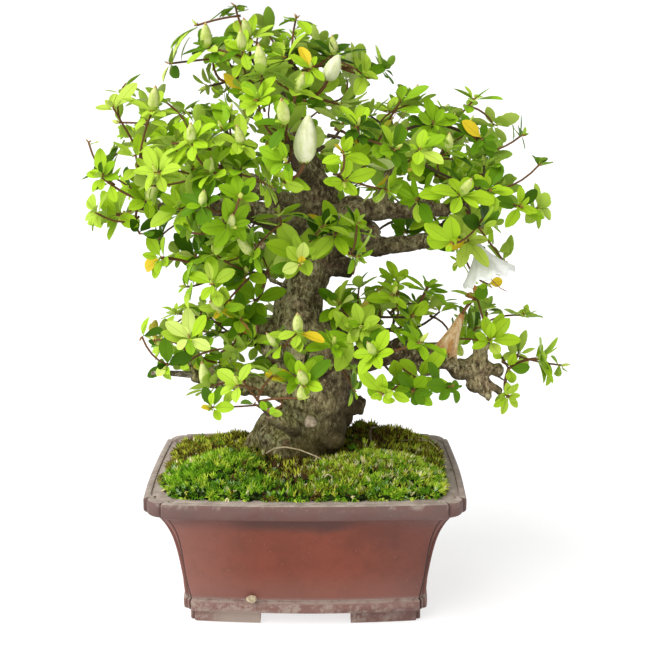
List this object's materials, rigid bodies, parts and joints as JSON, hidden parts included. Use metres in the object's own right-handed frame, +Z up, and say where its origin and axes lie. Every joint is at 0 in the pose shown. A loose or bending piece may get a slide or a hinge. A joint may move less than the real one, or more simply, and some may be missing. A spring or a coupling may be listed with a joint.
{
  "type": "azalea bonsai",
  "caption": "Azalea bonsai with a stout leaning trunk, spreading boughs and separate leafy masses, standing in moss in a footed rectangular clay pot.",
  "frame": {"origin": "middle of the whole plant's box seen from above, at the height of the pot's feet", "axes": "+Z up along the trunk, +X to the right and +Y away from the viewer when the pot is seen from its front"},
  "size_m": [0.3014, 0.2166, 0.3878],
  "materials": {
    "clay": "matte",
    "soil": "matte",
    "moss": "matte",
    "bark": "matte",
    "foliage": "satin"
  },
  "bodies": {
    "root": {"pot": "clay", "soil": "soil", "moss": "moss", "trunk": "bark", "bough_left": "bark", "bough_front_left": "bark", "bough_right": "bark", "bough_right_top": "bark", "bough_right_low": "bark", "bough_back_right": "bark", "bough_back_left": "bark", "bough_back": "bark", "bough_left_back": "bark", "bough_front": "bark", "bough_apex_back": "bark", "bough_low_left": "bark", "bough_low_left_front": "bark", "bough_low_left_back": "bark", "bough_low_right": "bark", "bough_low_right_tip": "bark", "bough_low_right_top": "bark", "bough_low_right_back": "bark", "foliage_apex": "foliage", "foliage_apex_back": "foliage", "foliage_left_outer": "foliage", "foliage_left_inner": "foliage", "foliage_centre": "foliage", "foliage_right_top": "foliage", "foliage_right_tip": "foliage", "foliage_front": "foliage", "foliage_left_mid": "foliage", "foliage_left_low": "foliage", "foliage_left_front": "foliage", "foliage_front_low": "foliage", "foliage_right_low": "foliage", "foliage_right_low_tip": "foliage", "foliage_back_left_upper": "foliage", "foliage_back_centre": "foliage", "foliage_back_right_upper": "foliage", "foliage_back_left": "foliage", "foliage_back_right": "foliage", "foliage_back_low_left": "foliage", "foliage_back_low_right": "foliage"}
  },
  "joints": []
}
